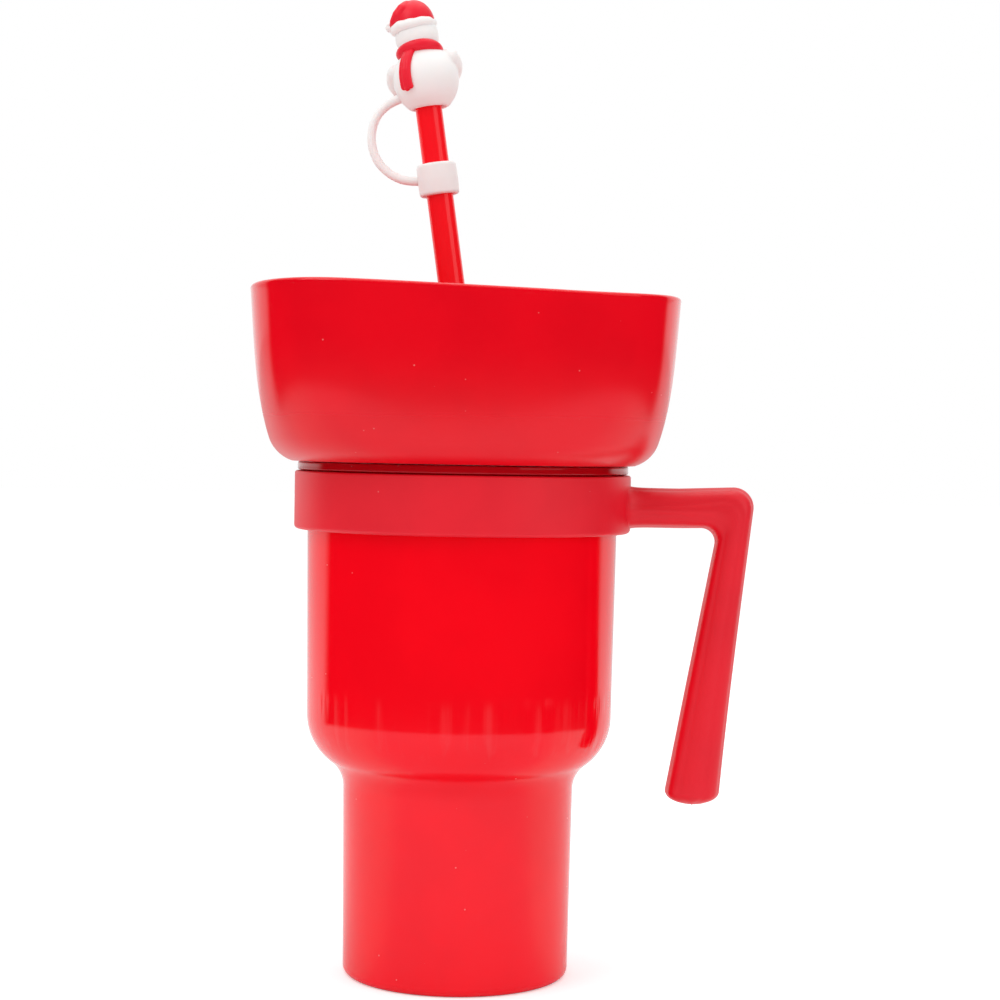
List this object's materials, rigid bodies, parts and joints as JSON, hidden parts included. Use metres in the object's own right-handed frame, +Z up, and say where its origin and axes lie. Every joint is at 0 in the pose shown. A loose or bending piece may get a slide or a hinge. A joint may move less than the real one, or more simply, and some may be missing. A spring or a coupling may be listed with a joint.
{
  "type": "two-in-one tumbler with snack bowl",
  "caption": "Stepped drinking cup with a slip-on handle, a screw-on snack bowl over its mouth, and a straw through the bowl with a tethered soft snowman cap.",
  "frame": {"origin": "centre of the ring that the cup stands on, on the cup's axis", "axes": "+Z up along the cup's axis, +X toward the handle"},
  "size_m": [0.1673, 0.1422, 0.3245],
  "materials": {
    "cup_red": "glossy moulded plastic",
    "handle_red": "satin moulded plastic",
    "bowl_red": "semi-gloss moulded plastic",
    "straw_red": "glossy extruded plastic",
    "seal_white": "smooth silicone",
    "soft_white": "satin silicone",
    "soft_red": "satin silicone",
    "coal": "satin silicone",
    "carrot": "satin silicone"
  },
  "bodies": {
    "cup": {"cup_body": "cup_red"},
    "handle": {"handle": "handle_red"},
    "seal": {"bowl_seal": "seal_white"},
    "bowl": {"snack_bowl": "bowl_red", "straw_bush": "seal_white"},
    "straw": {"straw": "straw_red"},
    "keeper": {"straw_ring": "soft_white", "tether": "soft_white"},
    "snowman": {"snowman_body": "soft_white", "hat": "soft_red", "hat_brim": "soft_white", "hat_pompom": "soft_white", "scarf": "soft_red", "scarf_tail": "soft_red", "eyes": "coal", "nose": "carrot", "buttons": "coal"}
  },
  "joints": [
    {"name": "handle_turn", "type": "hinge", "parent": "cup", "child": "handle", "pos_m": [0, 0, 0.158], "axis": [0, 0, 1], "continuous": true},
    {"name": "bowl_lift", "type": "slide", "parent": "cup", "child": "seal", "axis": [0, 0, 1], "range_m": [0, 0.012]},
    {"name": "bowl_unscrew", "type": "hinge", "parent": "seal", "child": "bowl", "pos_m": [0, 0, 0.165], "axis": [0, 0, 1], "range_deg": [0, 270]},
    {"name": "straw_slide", "type": "slide", "parent": "bowl", "child": "straw", "axis": [-0.1461, 0, 0.9893], "range_m": [0, 0.18]},
    {"name": "keeper_turn", "type": "hinge", "parent": "straw", "child": "keeper", "pos_m": [0, 0, 0.1963], "axis": [-0.1461, 0, 0.9893], "continuous": true},
    {"name": "cap_pull", "type": "slide", "parent": "keeper", "child": "snowman", "axis": [-0.1461, 0, 0.9893], "range_m": [0, 0.013], "deforming": ["tether"]}
  ],
  "couplings": [
    {"joint": "bowl_unscrew", "follows": "bowl_lift", "rad_per_m": 392.69}
  ]
}
